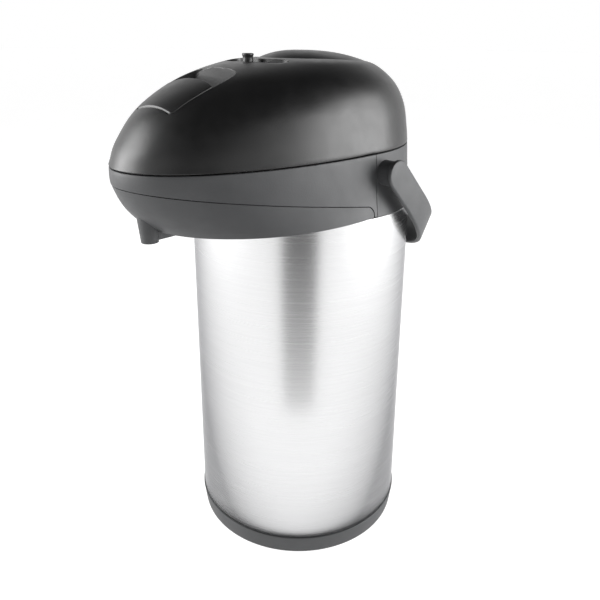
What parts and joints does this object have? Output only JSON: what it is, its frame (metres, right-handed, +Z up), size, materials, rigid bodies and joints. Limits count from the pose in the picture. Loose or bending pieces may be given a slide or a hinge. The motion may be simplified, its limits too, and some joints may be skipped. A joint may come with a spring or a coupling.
{
  "type": "thermal coffee airpot",
  "caption": "Insulated steel drink dispenser with an overhanging lid, pump button, fold-back carrying strap and pouring nozzle.",
  "frame": {"origin": "centre of the round base at the face it stands on", "axes": "+Z up, -Y towards the nozzle at the front, +X towards the handle pin on the right of a person who looks along +Y at the front"},
  "size_m": [0.2126, 0.2858, 0.4299],
  "materials": {
    "brushed_steel": "fine horizontal brushing, satin",
    "charcoal_plastic": "fine matte texture",
    "fastener_steel": "plain bright zinc or stainless",
    "white_silicone": "matte food-safe silicone",
    "liner_steel": "drawn stainless, satin",
    "black_plastic": "satin",
    "milky_plastic": "smooth translucent"
  },
  "bodies": {
    "pot": {"outer_shell": "brushed_steel", "base_cap": "charcoal_plastic", "base_screw_1": "fastener_steel", "base_screw_2": "fastener_steel", "base_screw_3": "fastener_steel", "liner_cradle": "white_silicone", "liner_inner_wall": "liner_steel", "liner_outer_wall": "liner_steel", "shoulder_deck": "black_plastic", "neck_gasket": "white_silicone", "neck_insert": "black_plastic", "siphon_pipe": "milky_plastic", "nozzle_outlet": "black_plastic", "chin_cover": "charcoal_plastic", "collar_band": "charcoal_plastic", "rear_yoke": "charcoal_plastic", "handle_pin_left": "fastener_steel", "handle_pin_right": "fastener_steel", "hinge_pin": "fastener_steel", "latch_strike": "fastener_steel"},
    "lid": {"lid_shell": "black_plastic", "lid_plate": "black_plastic", "lid_screw_1": "fastener_steel", "lid_screw_2": "fastener_steel", "lid_screw_3": "fastener_steel", "lid_screw_4": "fastener_steel", "air_seal": "white_silicone", "bellows": "white_silicone", "bellows_spring": "fastener_steel", "lever_pin": "fastener_steel", "lever_spring": "fastener_steel"},
    "button": {"pump_button": "black_plastic"},
    "lock": {"lock_slider": "black_plastic"},
    "lever": {"release_lever": "black_plastic"},
    "handle": {"carrying_handle": "charcoal_plastic"}
  },
  "joints": [
    {"name": "lid_hinge", "type": "hinge", "parent": "pot", "child": "lid", "pos_m": [0, 0.0976, 0.3565], "axis": [-1, 0, 0], "range_deg": [0, 80]},
    {"name": "pump_stroke", "type": "slide", "parent": "lid", "child": "button", "axis": [0, 0, -1], "range_m": [0, 0.032], "stiffness_N_per_m": 900, "springref_m": -0.01, "deforming": ["bellows", "bellows_spring"]},
    {"name": "lock_turn", "type": "hinge", "parent": "lid", "child": "lock", "pos_m": [0, 0.0085, 0.4144], "axis": [0, 0, 1], "range_deg": [-22, 22]},
    {"name": "lever_pull", "type": "hinge", "parent": "lid", "child": "lever", "pos_m": [0, -0.135, 0.3886], "axis": [1, 0, 0], "range_deg": [0, 18], "stiffness_Nm_per_rad": 0.12, "springref_deg": -17.19},
    {"name": "handle_swing", "type": "hinge", "parent": "pot", "child": "handle", "pos_m": [0, 0.0025, 0.34], "axis": [1, 0, 0], "range_deg": [0, 130]}
  ]
}
